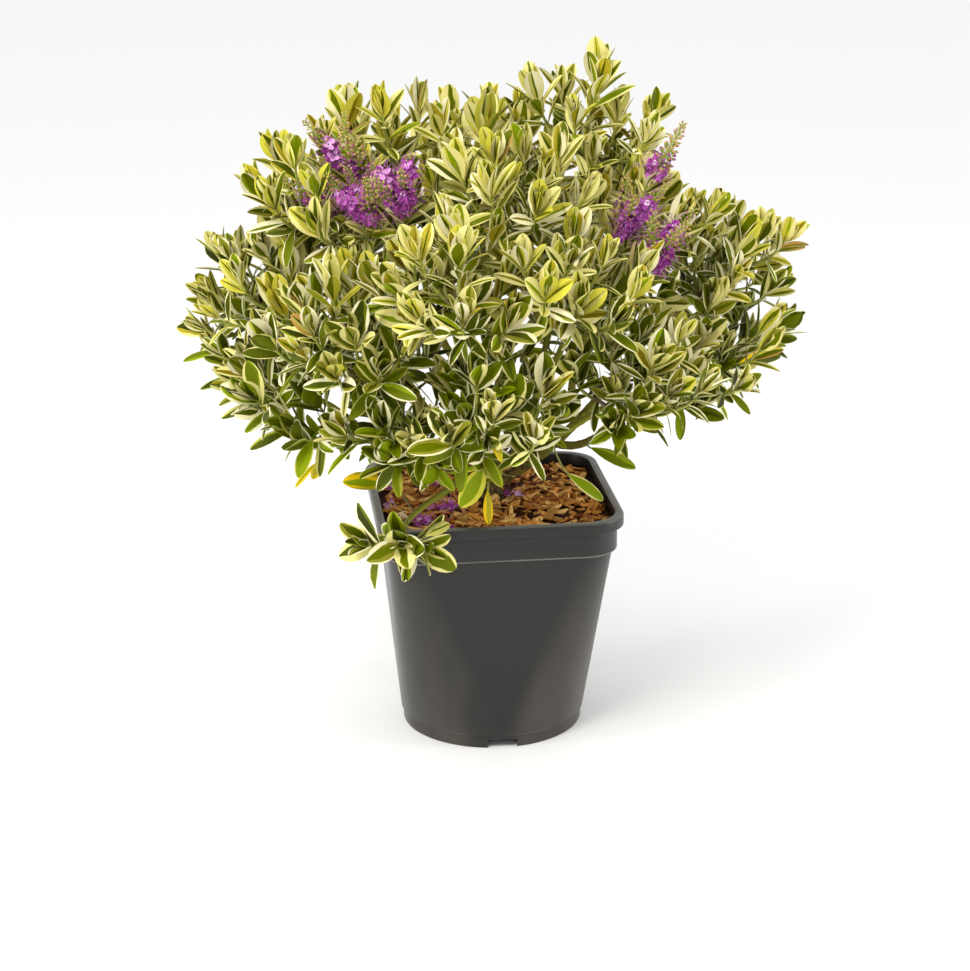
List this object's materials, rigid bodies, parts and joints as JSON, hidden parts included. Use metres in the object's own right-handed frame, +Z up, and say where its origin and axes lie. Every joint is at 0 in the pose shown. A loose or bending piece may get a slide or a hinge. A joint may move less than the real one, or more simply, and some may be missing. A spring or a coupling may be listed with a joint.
{
  "type": "potted flowering shrub",
  "caption": "Rounded variegated evergreen shrub, a hebe with short spikes of purple flowers, in a square-topped plastic nursery pot topped with bark chips.",
  "frame": {"origin": "centre of the pot's flat underside, on the surface it stands on", "axes": "+Z up along the trunk; the pot's straight sides face +X, -X, +Y and -Y, and -Y is the plant's front"},
  "size_m": [0.6358, 0.5364, 0.7016],
  "materials": {
    "moulded_pot": "satin moulded plastic, charcoal",
    "moist_compost": "moist dark peat and bark fines",
    "bark_chips": "rough orange-brown bark chips",
    "bark": "olive-brown ridged bark",
    "foliage": "leathery leaf, green with cream margin",
    "leaf_blade": "leathery leaf, green with cream margin",
    "young_stem": "smooth yellow-green young stem",
    "blossom": "small violet-purple flowers and green buds"
  },
  "bodies": {
    "root": {"pot": "moulded_pot", "compost": "moist_compost", "bark_mulch": "bark_chips", "trunk": "bark", "bough_centre_top": "bark", "bough_left_upper": "bark", "bough_front_centre": "bark", "bough_right_tip": "bark", "bough_back_centre": "bark", "bough_front_left": "bark", "bough_front_right": "bark", "bough_back_right": "bark", "bough_back_left": "bark", "bough_left_low": "bark", "bough_left_foot": "bark", "bough_upper_left": "bark", "bough_top_left": "bark", "bough_top_peak": "bark", "bough_upper_front": "bark", "bough_upper_back": "bark", "bough_front_left_low": "bark", "bough_drooping_shoot": "bark", "bough_front_low": "bark", "bough_front_right_low": "bark", "bough_right_upper": "bark", "bough_right_low": "bark", "bough_back_right_low": "bark", "bough_back_left_low": "bark", "foliage_centre_top": "foliage", "foliage_left_upper": "foliage", "foliage_front_centre": "foliage", "foliage_right_tip": "foliage", "foliage_back_centre": "foliage", "foliage_front_left": "foliage", "foliage_front_right": "foliage", "foliage_back_right": "foliage", "foliage_back_left": "foliage", "foliage_left_low": "foliage", "foliage_left_foot": "foliage", "foliage_upper_left": "foliage", "foliage_top_left": "foliage", "foliage_top_peak": "foliage", "foliage_upper_front": "foliage", "foliage_upper_back": "foliage", "foliage_front_left_low": "foliage", "foliage_drooping_shoot": "foliage", "foliage_front_low": "foliage", "foliage_front_right_low": "foliage", "foliage_right_upper": "foliage", "foliage_right_low": "foliage", "foliage_back_right_low": "foliage", "foliage_back_left_low": "foliage"}
  },
  "joints": []
}
